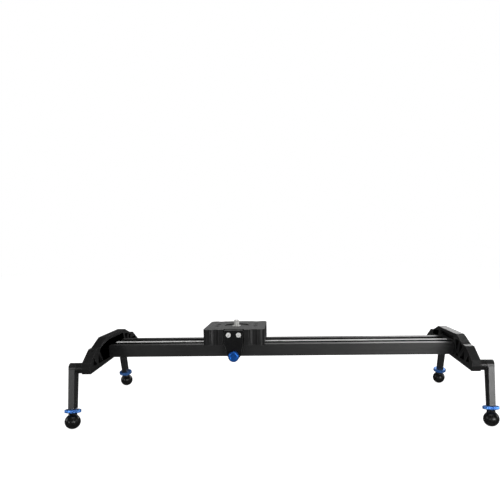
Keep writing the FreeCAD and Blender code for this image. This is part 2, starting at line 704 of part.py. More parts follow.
def build_camera_stud():
    foot_z = "carriage_top_z - roof_thickness - stud_nut_height - stud_below"
    thread = cylinder("stud_thread", "stud_diameter / 2", f"stud_top_z - ({foot_z}) - end_chamfer",
                      "carriage_x", "0", foot_z)
    tip = cone("stud_tip", "stud_diameter / 2", "stud_diameter / 2 - end_chamfer", "end_chamfer",
               "carriage_x", "0", "stud_top_z - end_chamfer")
    collar = cylinder("stud_flange", "stud_collar / 2", "stud_collar_height", "carriage_x", "0",
                      "carriage_top_z - disc_sink")
    finish(fuse("camera_stud", [thread, tip, collar]), "camera_stud")
    nut_z = "carriage_top_z - roof_thickness - stud_nut_height"
    nut = hexagon("stud_nut_hex", "stud_nut_flats", "stud_nut_height", "carriage_x", "0", nut_z)
    bore = cylinder("stud_nut_bore", "stud_diameter / 2", "through", "carriage_x", "0", "track_floor_z")
    finish(cut("stud_nut", nut, bore), "stud_nut")


def build_rollers():
    """Grooved outer rings that run on the guide strip's round edges, and what holds them."""
    middle = "track_floor_z + track_height - strip_thickness / 2"
    low = f"{middle} - roller_width / 2"
    inner_rings, spacers, axles, nuts = [], [], [], []
    for corner, x, y in roller_places():
        disc = cylinder(f"roller_disc_{corner}", "roller_radius", "roller_width", x, y, low)
        hole = cylinder(f"roller_hole_{corner}", "ring_gap_outer", "roller_width", x, y, low)
        groove = doc.addObject("Part::Torus", f"roller_groove_{corner}")
        bind(groove, Radius1="roller_radius + groove_radius - groove_sink", Radius2="groove_radius")
        place(groove, x, y, middle)
        blank = cut(f"roller_blank_{corner}", disc, hole)
        finish(cut(f"roller_{corner}", blank, groove), f"roller_{corner}")

        ring = cylinder(f"ring_{corner}", "ring_gap_inner", "roller_width", x, y, low)
        ring_hole = cylinder(f"ring_hole_{corner}", "axle_diameter / 2", "roller_width", x, y, low)
        inner_rings.append(cut(f"inner_ring_{corner}", ring, ring_hole))

        spacer = cylinder(f"spacer_disc_{corner}", "axle_diameter / 2 + spacer_wall",
                          f"post_end_z - ({low}) - roller_width", x, y, f"{low} + roller_width")
        spacer_hole = cylinder(f"spacer_hole_{corner}", "axle_diameter / 2", "through", x, y, low)
        spacers.append(cut(f"spacer_{corner}", spacer, spacer_hole))

        shank = cylinder(f"axle_shank_{corner}", "axle_diameter / 2",
                         "carriage_top_z - axle_sink - axle_end_z", x, y, "axle_end_z")
        head = cone(f"axle_cone_{corner}", "axle_diameter / 2", "axle_head / 2", "axle_cone", x, y,
                    "carriage_top_z - axle_sink - axle_cone")
        key = hexagon(f"axle_key_{corner}", "key_small", "key_depth", x, y,
                      "carriage_top_z - key_depth + axle_sink")
        solid = fuse(f"axle_solid_{corner}", [shank, head])
        axles.append(cut(f"axle_{corner}", solid, key))

        nut = hexagon(f"axle_nut_hex_{corner}", "axle_nut_flats", "axle_nut_height", x, y,
                      f"{low} - axle_nut_height")
        nut_hole = cylinder(f"axle_nut_hole_{corner}", "axle_diameter / 2", "through", x, y,
                            "track_floor_z")
        nuts.append(cut(f"axle_nut_{corner}", nut, nut_hole))
    group("roller_inner_rings", inner_rings)
    group("roller_spacers", spacers)
    group("roller_bolts", axles)
    group("roller_nuts", nuts)


# Side lock: a block screwed to the carriage's front, a knob on a screw, and a brass brake pad.

def build_clamp_block():
    body = new_body("clamp_block")
    front = new_sketch(body, "clamp_front", "XZ_Plane", "clamp_front_y - clamp_thickness")
    step_z = "track_floor_z + track_height + clamp_step_height"
    hanger_z = "track_floor_z + hanger_top"
    half = [("clamp_width / 2", "clamp_top_z"), ("clamp_width / 2", step_z),
            ("hanger_width / 2", hanger_z), ("hanger_width / 2", "hanger_side_z"),
            ("hanger_foot / 2", "hanger_end_z")]
    outline(front, half + [(f"-({x})", z) for x, z in reversed(half)])
    pad(body, "clamp_pad", front, "clamp_thickness")
    hanger = new_sketch(body, "hanger_back", "XZ_Plane", "hanger_back_y")
    outline(hanger, half[2:] + [(f"-({x})", z) for x, z in reversed(half[2:])])
    pad(body, "hanger_pad", hanger, "clamp_front_y - clamp_thickness - hanger_back_y")

    screws = new_sketch(body, "clamp_screw_holes", "XZ_Plane", "clamp_front_y")
    heads = new_sketch(body, "clamp_screw_seats", "XZ_Plane", "clamp_front_y")
    for mirror in ("", "-"):
        circle(screws, f"{mirror}clamp_screw_x", "clamp_screw_z", "clamp_screw_shank + thread_play")
        circle(heads, f"{mirror}clamp_screw_x", "clamp_screw_z", "clamp_screw_head + 6 * thread_play")
    pocket(body, "clamp_screw_pocket", screws, "clamp_thickness * 2")
    pocket(body, "clamp_seat_pocket", heads, "clamp_seat_depth")
    lock = new_sketch(body, "lock_hole", "XZ_Plane", "clamp_front_y")
    circle(lock, "0", "lock_z", "lock_screw + thread_play")
    pocket(body, "lock_pocket", lock, "clamp_front_y - hanger_back_y")
    well = new_sketch(body, "pad_well", "XZ_Plane", "hanger_back_y")
    circle(well, "0", "lock_z", "pad_diameter + 3 * thread_play")
    pocket(body, "pad_pocket", well, "pad_well_depth", reverse=True)
    place(body, x="carriage_x")
    finish(body, "clamp_block")


def build_clamp_screws():
    screws = []
    for side, sign in SIDES.items():
        x = f"carriage_x + {sign} * clamp_screw_x"
        seat = "-clamp_front_y + clamp_seat_depth"
        head = cylinder(f"clamp_head_{side}", "clamp_screw_head / 2", "clamp_head_height", x, seat,
                        "clamp_screw_z", TOWARDS_FRONT)
        shank = cylinder(f"clamp_shank_{side}", "clamp_screw_shank / 2", "clamp_screw_length", x,
                         seat, "clamp_screw_z", ALONG_Y)
        socket = hexagon(f"clamp_socket_{side}", "key_small", "key_depth")
        place(socket, x, "-clamp_front_y", "clamp_screw_z", TOWARDS_FRONT)
        solid = fuse(f"clamp_screw_{side}", [head, shank])
        screws.append(cut(f"clamp_screw_socketed_{side}", solid, socket))
    group("clamp_screws", screws)


def build_lock():
    body = new_body("lock_knob")
    disc = new_sketch(body, "knob_disc", "XY_Plane")
    circle(disc, "0", "0", "knob_diameter")
    pad(body, "knob_pad", disc, "knob_length")
    flute = new_sketch(body, "knob_flute", "XY_Plane", "knob_length")
    circle(flute, "(knob_diameter + knob_flute) / 2 - knob_flute_sink", "0", "knob_flute")
    cutter = pocket(body, "knob_cutter", flute, "knob_length - knob_skirt")
    notch_round(body, "knob_grip", cutter, "knob_flutes")
    core = new_sketch(body, "knob_core", "XY_Plane")
    circle(core, "0", "0", "lock_screw")
    pocket(body, "knob_core_pocket", core, "knob_length - knob_cap", reverse=True)
    place(body, "carriage_x", "-clamp_front_y - knob_gap", "lock_z", TOWARDS_FRONT)
    finish(body, "lock_knob")

    screw_start = "-clamp_front_y - knob_gap - knob_length + knob_cap"
    pad_front = "-track_width / 2 - pad_gap - pad_thickness"
    screw = cylinder("lock_screw_rod", "lock_screw / 2", f"{pad_front} - thread_play - ({screw_start})",
                     "carriage_x", screw_start, "lock_z", ALONG_Y)
    finish(screw, "lock_screw")
    pad_disc = cylinder("brake_pad_disc", "pad_diameter / 2", "pad_thickness", "carriage_x",
                        pad_front, "lock_z", ALONG_Y)
    finish(pad_disc, "brake_pad")


build_track()
build_guide_strip()
build_tripod_bush()
for side_name, side_sign in SIDES.items():
    build_bracket(side_name, side_sign)
    build_bracket_screws(side_name, side_sign)
for end_name in ENDS:
    for side_name in SIDES:
        build_leg(end_name, side_name)
        build_pivot_bolt(end_name, side_name)
        build_foot_rod(end_name, side_name)
        build_foot_ball(end_name, side_name)
        build_lock_nut(end_name, side_name)
build_washers()
build_carriage_body()
build_camera_stud()
build_rollers()
build_clamp_block()
build_clamp_screws()
build_lock()
doc.recompute()

for item in doc.Objects:
    if "Invalid" in item.State or "Error" in item.State:
        raise RuntimeError(f"{item.Name} failed: {item.State}")
for item in subparts:
    if item.Shape.isNull() or not item.Shape.isValid():
        raise RuntimeError(f"{item.Label} has no valid shape")

os.makedirs("parts", exist_ok=True)
for item in subparts:
    item.Shape.exportStep(f"parts/{item.Label}.step")
    bounds = item.Shape.BoundBox
    print(f"{item.Label}: {len(item.Shape.Solids)} solid(s), {item.Shape.Volume:.0f} mm3, "
          f"x {bounds.XMin:.1f}..{bounds.XMax:.1f} y {bounds.YMin:.1f}..{bounds.YMax:.1f} "
          f"z {bounds.ZMin:.1f}..{bounds.ZMax:.1f}")
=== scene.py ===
import json
import math

import bmesh
import bpy
from mathutils import Matrix, Vector


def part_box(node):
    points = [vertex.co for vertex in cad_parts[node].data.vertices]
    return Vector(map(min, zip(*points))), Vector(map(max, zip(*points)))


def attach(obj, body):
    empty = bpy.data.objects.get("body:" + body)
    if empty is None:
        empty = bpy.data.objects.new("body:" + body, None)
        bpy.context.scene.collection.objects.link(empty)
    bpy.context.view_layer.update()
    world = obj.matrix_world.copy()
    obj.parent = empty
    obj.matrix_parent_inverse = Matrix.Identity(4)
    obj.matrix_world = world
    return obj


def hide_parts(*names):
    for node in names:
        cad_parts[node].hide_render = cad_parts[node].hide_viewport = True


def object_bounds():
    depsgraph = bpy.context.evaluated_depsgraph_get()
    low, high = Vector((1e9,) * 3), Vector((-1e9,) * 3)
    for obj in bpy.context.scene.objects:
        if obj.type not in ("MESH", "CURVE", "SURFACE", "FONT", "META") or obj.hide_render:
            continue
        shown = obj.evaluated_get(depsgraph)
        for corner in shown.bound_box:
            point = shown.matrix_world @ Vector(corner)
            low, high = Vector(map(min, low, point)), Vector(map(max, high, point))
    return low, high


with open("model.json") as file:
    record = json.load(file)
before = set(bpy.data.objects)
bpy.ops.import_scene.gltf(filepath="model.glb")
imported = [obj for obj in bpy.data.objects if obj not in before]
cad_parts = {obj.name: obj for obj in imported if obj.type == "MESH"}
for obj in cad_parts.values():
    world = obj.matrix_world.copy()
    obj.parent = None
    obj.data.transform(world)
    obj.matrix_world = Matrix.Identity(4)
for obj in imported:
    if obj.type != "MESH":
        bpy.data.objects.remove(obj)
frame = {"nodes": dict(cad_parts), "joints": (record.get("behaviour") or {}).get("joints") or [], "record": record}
cad_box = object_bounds()

MM = 0.001
CORNERS = [f"{end}_{side}" for end in ("front", "back") for side in ("left", "right")]
JOINTS = {joint["name"]: joint for joint in frame["joints"]}
BODY_OF = {node: body for body, nodes in frame["record"]["behaviour"]["bodies"].items() for node in nodes}
SLOT_OF = {part["node"]: part["material_slot"] for part in frame["record"]["subparts"]}


# ---------------------------------------------------------------- materials

EDGE_MARK = "edge"

# scales of the noises that several materials share, in features per metre
COAT_PATCHES = 38
SMEARS = 60
# the next scale breaks up the paled edges, which are partly rubbed coat and partly a painted edge highlight
EDGE_WEAR_AND_HIGHLIGHT = 160
TOOL_MARKS = 900

TOOL_MARK_DEPTH = 0.02 * MM
NOISE_ROUGHNESS = 0.55


class Nodes:
    """A material's node tree, with short calls for the nodes that these materials share."""

    def __init__(self, name):
        self.material = bpy.data.materials.new(name)
        self.material.use_nodes = True
        self.tree = self.material.node_tree
        self.shader = self.tree.nodes["Principled BSDF"]
        coordinates = self.tree.nodes.new("ShaderNodeTexCoord")
        self.place = coordinates.outputs["Object"]

    def link(self, source, target):
        self.tree.links.new(source, target)

    def scaled_place(self, scale):
        mapping = self.tree.nodes.new("ShaderNodeMapping")
        mapping.inputs["Scale"].default_value = scale
        self.link(self.place, mapping.inputs["Vector"])
        return mapping.outputs["Vector"]

    def noise(self, scale, detail, stretch=(1, 1, 1)):
        node = self.tree.nodes.new("ShaderNodeTexNoise")
        node.inputs["Scale"].default_value = scale
        node.inputs["Detail"].default_value = detail
        node.inputs["Roughness"].default_value = NOISE_ROUGHNESS
        self.link(self.scaled_place(stretch), node.inputs["Vector"])
        return node.outputs["Fac"]

    def between(self, factor, low, high, from_low=0.3, from_high=0.7):
        """Map a factor onto a range of numbers."""
        node = self.tree.nodes.new("ShaderNodeMapRange")
        node.inputs["From Min"].default_value = from_low
        node.inputs["From Max"].default_value = from_high
        node.inputs["To Min"].default_value = low
        node.inputs["To Max"].default_value = high
        self.link(factor, node.inputs["Value"])
        return node.outputs["Result"]

    def ramp(self, factor, stops):
        """Turn a factor into a colour, by (position, colour) stops."""
        node = self.tree.nodes.new("ShaderNodeValToRGB")
        ramp = node.color_ramp
        for index, (position, colour) in enumerate(stops):
            element = ramp.elements[index] if index < 2 else ramp.elements.new(position)
            element.position = position
            element.color = (*colour, 1)
        self.link(factor, node.inputs["Fac"])
        return node.outputs["Color"]

    def mix(self, factor, first, second):
        """Mix two colours; each is a colour or another node's output."""
        node = self.tree.nodes.new("ShaderNodeMix")
        node.data_type = "RGBA"
        self.link(factor, node.inputs["Factor"])
        for socket, colour in ((node.inputs["A"], first), (node.inputs["B"], second)):
            if isinstance(colour, tuple):
                socket.default_value = (*colour, 1)
            else:
                self.link(colour, socket)
        return node.outputs["Result"]

    def wear_and_highlight_edges(self):
        """How far the rounded edges are paled: 0 except on them, and uneven along them; this is partly rubbed-off
        coat and partly a painted highlight along the edges.
        """
        mark = self.tree.nodes.new("ShaderNodeAttribute")
        mark.attribute_name = EDGE_MARK
        wear_and_highlight = self.tree.nodes.new("ShaderNodeMath")
        wear_and_highlight.operation = "MULTIPLY"
        self.link(mark.outputs["Fac"], wear_and_highlight.inputs[0])
        self.link(self.between(self.noise(EDGE_WEAR_AND_HIGHLIGHT, 3), 0.3, 1.0), wear_and_highlight.inputs[1])
        return wear_and_highlight.outputs["Value"]

    def bump(self, height, distance):
        node = self.tree.nodes.new("ShaderNodeBump")
        node.inputs["Distance"].default_value = distance
        self.link(height, node.inputs["Height"])
        self.link(node.outputs["Normal"], self.shader.inputs["Normal"])

    def set(self, **values):
        for name, value in values.items():
            self.shader.inputs[name.replace("_", " ")].default_value = value


def coated(name, dark, light, roughness, grain, grain_height, edge_wear_and_highlight, specular=0.3, stretch=(1, 1, 1)):
    """A powder coat or anodised skin: two close colours, a grain, and paler rounded edges of a given brightness,
    which stand partly for rubbed-off coat and partly for a painted edge highlight.
    """
    nodes = Nodes(name)
    patches = nodes.noise(COAT_PATCHES, 3)
    base = nodes.ramp(patches, [(0.3, dark), (0.72, light)])
    # paler edges: partly rubbed-off coat, partly a painted highlight along the rounded edges
    colour = nodes.mix(nodes.wear_and_highlight_edges(), base, (edge_wear_and_highlight, edge_wear_and_highlight, edge_wear_and_highlight))
    nodes.link(colour, nodes.shader.inputs["Base Color"])
    speck = nodes.noise(grain, 2, stretch)
    nodes.link(nodes.between(speck, roughness - 0.05, roughness + 0.06), nodes.shader.inputs["Roughness"])
    nodes.bump(speck, grain_height)
    nodes.set(Specular_IOR_Level=specular)
    return nodes.material


def bare_metal(name, dark, light, roughness, metallic=1.0):
    """A bare, plated or anodised metal with fine tool marks and faint smears."""
    nodes = Nodes(name)
    marks = nodes.noise(TOOL_MARKS, 3)
    smears = nodes.noise(SMEARS, 3)
    nodes.link(nodes.ramp(smears, [(0.3, dark), (0.7, light)]), nodes.shader.inputs["Base Color"])
    nodes.link(nodes.between(marks, roughness - 0.05, roughness + 0.08), nodes.shader.inputs["Roughness"])
    nodes.bump(marks, TOOL_MARK_DEPTH)
    nodes.set(Metallic=metallic)
    return nodes.material


def guide_steel(name):
    """A strip ground bright along its top, with its round running edges left black."""
    nodes = Nodes(name)
    marks = nodes.noise(TOOL_MARKS, 3, (0.02, 1, 1))
    smears = nodes.noise(SMEARS, 3, (0.1, 1, 1))
    bright = nodes.ramp(smears, [(0.3, (0.8, 0.8, 0.79)), (0.7, (0.9, 0.9, 0.89))])
    axes = nodes.tree.nodes.new("ShaderNodeSeparateXYZ")
    nodes.link(nodes.place, axes.inputs["Vector"])
    strip_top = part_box("guide_strip")[1].z
    black_below, bright_above = strip_top - 1.15 * MM, strip_top - 0.95 * MM
    ground = nodes.between(axes.outputs["Z"], 0, 1, black_below, bright_above)
    nodes.link(nodes.mix(ground, (0.006, 0.006, 0.006), bright), nodes.shader.inputs["Base Color"])
    nodes.link(nodes.between(marks, 0.42, 0.55), nodes.shader.inputs["Roughness"])
    nodes.bump(marks, TOOL_MARK_DEPTH)
    nodes.set(Specular_IOR_Level=0.3)
    return nodes.material


def rubber(name):
    """Black moulded rubber, slightly glossy, with a little dust on it."""
    nodes = Nodes(name)
    dust = nodes.noise(240, 4)
    nodes.link(nodes.ramp(dust, [(0.35, (0.003, 0.003, 0.003)), (0.75, (0.007, 0.007, 0.007))]),
               nodes.shader.inputs["Base Color"])
    nodes.link(nodes.between(dust, 0.24, 0.34), nodes.shader.inputs["Roughness"])
    nodes.bump(nodes.noise(1400, 2), 0.02 * MM)
    nodes.set(Specular_IOR_Level=0.35)
    return nodes.material


# each coat's edge brightness paints a highlight along its rounded edges as well as rubbed-off coat; on the clamp
# and the brackets it paints the light lip and the light pocket ledges
MATERIALS = {
    "track_black": coated("track_black", (0.006, 0.006, 0.0062), (0.009, 0.009, 0.0093), roughness=0.42,
                          grain=700, grain_height=0.02 * MM, edge_wear_and_highlight=0.03, specular=0.5,
                          stretch=(0.02, 1, 1)),
    "guide_steel": guide_steel("guide_steel"),
    "cast_black": coated("cast_black", (0.004, 0.004, 0.004), (0.006, 0.006, 0.006), roughness=0.4,
                         grain=1500, grain_height=0.08 * MM, edge_wear_and_highlight=0.1, specular=0.4),
    "leg_grey": coated("leg_grey", (0.006, 0.006, 0.0063), (0.009, 0.009, 0.0093), roughness=0.38,
                       grain=1500, grain_height=0.05 * MM, edge_wear_and_highlight=0.04, specular=0.6),
    "carriage_black": coated("carriage_black", (0.006, 0.006, 0.0062), (0.009, 0.009, 0.0093),
                             roughness=0.34, grain=2200, grain_height=0.03 * MM, edge_wear_and_highlight=0.05,
                             specular=0.36),
    "clamp_black": coated("clamp_black", (0.002, 0.002, 0.0022), (0.004, 0.004, 0.0042), roughness=0.4,
                          grain=1800, grain_height=0.02 * MM, edge_wear_and_highlight=0.1, specular=0.22),
    "screw_black": bare_metal("screw_black", (0.02, 0.02, 0.022), (0.04, 0.04, 0.042), roughness=0.36),
    "screw_bright": bare_metal("screw_bright", (0.62, 0.62, 0.61), (0.76, 0.76, 0.75), roughness=0.42,
                               metallic=0.4),
    "stud_bright": bare_metal("stud_bright", (0.74, 0.74, 0.72), (0.86, 0.86, 0.84), roughness=0.42,
                              metallic=0.5),
    "roller_steel": bare_metal("roller_steel", (0.55, 0.55, 0.56), (0.66, 0.66, 0.67), roughness=0.18),
    "nut_blue": bare_metal("nut_blue", (0.05, 0.17, 0.5), (0.085, 0.24, 0.62), roughness=0.3,
                           metallic=0.75),
    "rod_steel": bare_metal("rod_steel", (0.55, 0.56, 0.57), (0.68, 0.69, 0.7), roughness=0.3),
    "ball_rubber": rubber("ball_rubber"),
    "pad_brass": bare_metal("pad_brass", (0.6, 0.42, 0.16), (0.75, 0.55, 0.24), roughness=0.35),
    "washer_black": coated("washer_black", (0.01, 0.01, 0.01), (0.016, 0.016, 0.016), roughness=0.5,
                           grain=900, grain_height=0.03 * MM, edge_wear_and_highlight=0.03),
}

# the lock knob is a deeper blue than the lock nuts, whose slot it shares
KNOB_BLUE = bare_metal("knob_blue", (0.01, 0.095, 0.42), (0.016, 0.13, 0.54), roughness=0.34, metallic=0.8)

for node, item in frame["nodes"].items():
    item.data.materials.clear()
    item.data.materials.append(MATERIALS[SLOT_OF[node]])


# ---------------------------------------------------------------- mesh helpers

# turns between two faces, in degrees
SHARP_TURN = 28
SLIGHT_TURN = 12
FLAT_TURN = 0.6

BROAD_FACE = 80 * MM * MM

# points nearer to each other, or to the axis, than these are one point
SAME_POINT = 0.002 * MM
SAME_SEAM = 0.001 * MM
ON_AXIS = 1e-7

# the most of a side that the arc at one of its corners takes up
ARC_SHARE = 0.45


def add_piece(name, mesh, body, slot, smooth_angle=35, material=None):
    """Put a finished mesh in the scene as a piece that rides on a body."""
    piece = bpy.data.objects.new(name, mesh)
    bpy.context.scene.collection.objects.link(piece)
    mesh.materials.clear()
    mesh.materials.append(material or MATERIALS[slot])
    for polygon in mesh.polygons:
        polygon.use_smooth = True
    mesh.set_sharp_from_angle(angle=math.radians(smooth_angle))
    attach(piece, body)
    return piece


def is_corner(edge):
    """Whether an edge is a real corner, and not a facet line of a curved face."""
    turn = math.degrees(edge.calc_face_angle(0.0))
    smaller = min(face.calc_area() for face in edge.link_faces)
    return turn > SHARP_TURN or (turn > SLIGHT_TURN and smaller > BROAD_FACE)


def apply_modifiers(piece):
    bpy.context.view_layer.update()
    evaluated = piece.evaluated_get(bpy.context.evaluated_depsgraph_get())
    mesh = bpy.data.meshes.new_from_object(evaluated)
    piece.modifiers.clear()
    piece.data = mesh


def mark_edges(mesh):
    """Turn the second material, which the bevel gave to its own faces, into a mark on those faces."""
    mark = mesh.attributes.new(EDGE_MARK, "FLOAT", "FACE")
    for polygon in mesh.polygons:
        mark.data[polygon.index].value = polygon.material_index
        polygon.material_index = 0
    mesh.materials.pop(index=1)


def soften(node, width):
    """Stand a copy of a CAD node, with every sharp edge rounded, in for the node itself."""
    mesh = frame["nodes"][node].data.copy()
    shape = bmesh.new()
    shape.from_mesh(mesh)
    bmesh.ops.remove_doubles(shape, verts=shape.verts, dist=SAME_POINT)
    bmesh.ops.dissolve_limit(shape, angle_limit=math.radians(FLAT_TURN), verts=shape.verts,
                             edges=shape.edges)
    weight = shape.edges.layers.float.new("bevel_weight_edge")
    for edge in shape.edges:
        if len(edge.link_faces) == 2 and is_corner(edge):
            edge[weight] = 1.0
    for face in shape.faces:
        face.smooth = True
    shape.to_mesh(mesh)
    shape.free()
    piece = add_piece(f"{node}_finish", mesh, BODY_OF[node], SLOT_OF[node], smooth_angle=180)
    mesh.materials.append(MATERIALS[SLOT_OF[node]])
    bevel = piece.modifiers.new("round", "BEVEL")
    bevel.material = 1
    bevel.width = width
    bevel.segments = 3
    bevel.limit_method = "WEIGHT"
    bevel.use_clamp_overlap = True
    bevel.miter_outer = "MITER_ARC"
    flat_faces = piece.modifiers.new("flat_faces", "WEIGHTED_NORMAL")
    flat_faces.mode = "FACE_AREA"
    flat_faces.weight = 100
    apply_modifiers(piece)
    mark_edges(piece.data)
    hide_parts(node)


def close_seam(mesh):
    """Join the first and last rings of a turned mesh whose profile ends where it starts."""
    shape = bmesh.new()
    shape.from_mesh(mesh)
    bmesh.ops.remove_doubles(shape, verts=shape.verts, dist=SAME_SEAM)
    bmesh.ops.recalc_face_normals(shape, faces=shape.faces)
    shape.to_mesh(mesh)
    shape.free()


def rounded(profile, radius, steps=4):
    """Round each inner corner of an open profile of (radius, height) points with an arc."""
    points = [Vector(point) for point in profile]
    result = [points[0]]
    for before, corner, after in zip(points, points[1:], points[2:]):
        inwards = (before - corner).normalized()
        outwards = (after - corner).normalized()
        half = inwards.angle(outwards) / 2
        reach = min(radius / math.tan(half), (before - corner).length * ARC_SHARE,
                    (after - corner).length * ARC_SHARE)
        real_radius = reach * math.tan(half)
        centre = corner + (inwards + outwards).normalized() * (real_radius / math.sin(half))
        start = corner + inwards * reach - centre
        stop = corner + outwards * reach - centre
        for step in range(steps + 1):
            share = step / steps
            arm = start.lerp(stop, share)
            result.append(centre + arm.normalized() * real_radius)
    result.append(points[-1])
    return [tuple(point) for point in result]


def lathe(name, profile, segments, reshape=None):
    """Turn a profile of (radius, height) points round Z; reshape may move each radius by angle."""
    shape = bmesh.new()
    rings = []
    for radius, height in profile:
        if radius < ON_AXIS:
            rings.append([shape.verts.new((0, 0, height))])
            continue
        ring = []
        for step in range(segments):
            angle = 2 * math.pi * step / segments
            reach = reshape(angle, radius, height) if reshape else radius
            ring.append(shape.verts.new((reach * math.cos(angle), reach * math.sin(angle), height)))
        rings.append(ring)
    for low, high in zip(rings, rings[1:]):
        for step in range(segments):
            following = (step + 1) % segments
            corners = [low[step % len(low)], low[following % len(low)],
                       high[following % len(high)], high[step % len(high)]]
            unique = list(dict.fromkeys(corners))
            if len(unique) > 2:
                shape.faces.new(unique)
    bmesh.ops.recalc_face_normals(shape, faces=shape.faces)
    mesh = bpy.data.meshes.new(name)
    shape.to_mesh(mesh)
    shape.free()
    return mesh


def along(direction, origin):
    """A transform whose Z runs along a direction, with its origin at a point."""
    turn = Vector((0, 0, 1)).rotation_difference(Vector(direction)).to_matrix().to_4x4()
    return Matrix.Translation(origin) @ turn


def middle(node):
    low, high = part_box(node)
    return (low + high) / 2


# ---------------------------------------------------------------- threads

THREAD_DEPTH = 0.5
ROWS_PER_TURN = 10
CREST_SHARE = 0.12
FLANK_SHARE = 0.76

ROD_PITCH = 1.0 * MM
ROD_CHAMFER = 1.0 * MM

STUD_RADIUS = 9.525 / 2 * MM
STUD_PITCH = 25.4 / 16 * MM
STUD_CHAMFER = 1.1 * MM
STUD_ABOVE_COLLAR = 10.2 * MM
COLLAR_THICKNESS = 1.2 * MM
COLLAR_ROUNDING = 0.25 * MM


def thread_mesh(name, radius, pitch, length, segments, chamfer):
    """A rod with a real helical thread, from z = 0 to its length, with a chamfered upper end."""
    depth = pitch * THREAD_DEPTH
    rows = round(length / pitch * ROWS_PER_TURN)
    profile = [(0.0, 0.0)] + [(radius, length * row / rows) for row in range(rows + 1)] + [(0.0, length)]

    def crest(angle, reach, height):
        phase = (height / pitch - angle / (2 * math.pi)) % 1.0
        tooth = abs(phase - 0.5) * 2
        cut = depth * min(1.0, max(0.0, (tooth - CREST_SHARE) / FLANK_SHARE))
        narrowing = max(0.0, chamfer - (length - height))
        return min(reach - cut, reach - narrowing)

    return lathe(name, profile, segments, crest)


def build_foot_rods():
    """Threaded rods; each leans with its leg, so its box is taller than its length accounts for."""
    for corner in CORNERS:
        direction = -Vector(JOINTS[f"foot_height_{corner}"]["axis"])
        low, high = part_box(f"foot_rod_{corner}")
        radius = (high.x - low.x) / 2
        length = (high.z - low.z - 2 * radius * math.hypot(direction.x, direction.y)) / direction.z
        start = (low + high) / 2 - direction * (length / 2)
        mesh = thread_mesh(f"foot_rod_{corner}_thread", radius, ROD_PITCH, length, segments=48,
                           chamfer=ROD_CHAMFER)
        mesh.transform(along(direction, start))
        piece = add_piece(f"foot_rod_{corner}_thread", mesh, f"foot_{corner}", "rod_steel",
                          smooth_angle=60)
        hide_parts(f"foot_rod_{corner}")


def build_camera_stud():
    """A threaded stud, with a collar where it leaves the carriage."""
    low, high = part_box("camera_stud")
    centre = middle("camera_stud")
    mesh = thread_mesh("camera_stud_thread", STUD_RADIUS, STUD_PITCH, high.z - low.z, segments=64,
                       chamfer=STUD_CHAMFER)
    mesh.transform(Matrix.Translation((centre.x, centre.y, low.z)))
    piece = add_piece("camera_stud_thread", mesh, "carriage", "stud_bright", smooth_angle=60)
    rim = (high.x - low.x) / 2
    bore = STUD_RADIUS * 0.8
    profile = rounded([(bore, 0), (rim, 0), (rim, COLLAR_THICKNESS), (bore, COLLAR_THICKNESS)],
                      COLLAR_ROUNDING)
    collar = lathe("camera_stud_collar", profile, segments=72)
    collar_base = high.z - STUD_ABOVE_COLLAR - COLLAR_THICKNESS
    collar.transform(Matrix.Translation((centre.x, centre.y, collar_base)))
    flange = add_piece("camera_stud_collar", collar, "carriage", "stud_bright")
    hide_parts("camera_stud")
    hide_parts("camera_stud")


# ---------------------------------------------------------------- knurled blue pieces and balls

KNURL_SEGMENTS = 288


def fluted(count, depth, rim, sharpness):
    """Flutes cut into a rim: radii at the rim are pulled in between the ridges."""
    root = rim * 0.9

    def reshape(angle, radius, height):
        share = max(0.0, (radius - root) / (rim - root))
        wave = (0.5 - 0.5 * math.cos(angle * count)) ** sharpness
        return radius - depth * wave * share
    return reshape


def build_lock_nuts():
    """Thin round nuts with a knurled rim that tapers towards both faces."""
    half = 5.5 / 2 * MM
    bore = 3.05 * MM
    taper_width = 1.6 * MM
    taper_height = 0.7 * MM
    for corner in CORNERS:
        direction = -Vector(JOINTS[f"lock_nut_turn_{corner}"]["axis"])
        low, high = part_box(f"lock_nut_{corner}")
        rim = (high.x - low.x) / 2
        shoulder = rim - taper_width
        edge = half - taper_height
        profile = rounded([(bore, 0), (bore, -half), (shoulder, -half), (rim, -edge), (rim, edge),
                           (shoulder, half), (bore, half), (bore, 0)], radius=0.22 * MM, steps=3)
        flutes = fluted(count=28, depth=0.9 * MM, rim=rim, sharpness=1.3)
        mesh = lathe(f"lock_nut_{corner}_knurl", profile, KNURL_SEGMENTS, flutes)
        close_seam(mesh)
        mesh.transform(along(direction, middle(f"lock_nut_{corner}")))
        piece = add_piece(f"lock_nut_{corner}_knurl", mesh, f"nut_{corner}", "nut_blue", smooth_angle=40)
        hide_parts(f"lock_nut_{corner}")


def build_lock_knob():
    """A knurled knob, chamfered at its foot and tapered to a dished outer face."""
    foot_chamfer = 0.8 * MM
    taper_length = 2.2 * MM
    taper_depth = 1.5 * MM
    dish = 0.5 * MM
    low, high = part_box("lock_knob")
    centre = middle("lock_knob")
    rim = (high.x - low.x) / 2
    long = high.y - low.y
    profile = rounded([(0, 0), (rim - foot_chamfer, 0), (rim, foot_chamfer), (rim, long - taper_length),
                       (rim - taper_depth, long - dish), (rim * 0.62, long), (rim * 0.5, long - dish),
                       (0, long - dish)], radius=0.5 * MM)
    flutes = fluted(count=24, depth=0.6 * MM, rim=rim, sharpness=1.4)
    mesh = lathe("lock_knob_grip", profile, KNURL_SEGMENTS, flutes)
    mesh.transform(along((0, -1, 0), Vector((centre.x, high.y, centre.z))))
    piece = add_piece("lock_knob_grip", mesh, "lock", "nut_blue", smooth_angle=40, material=KNOB_BLUE)
    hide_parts("lock_knob")


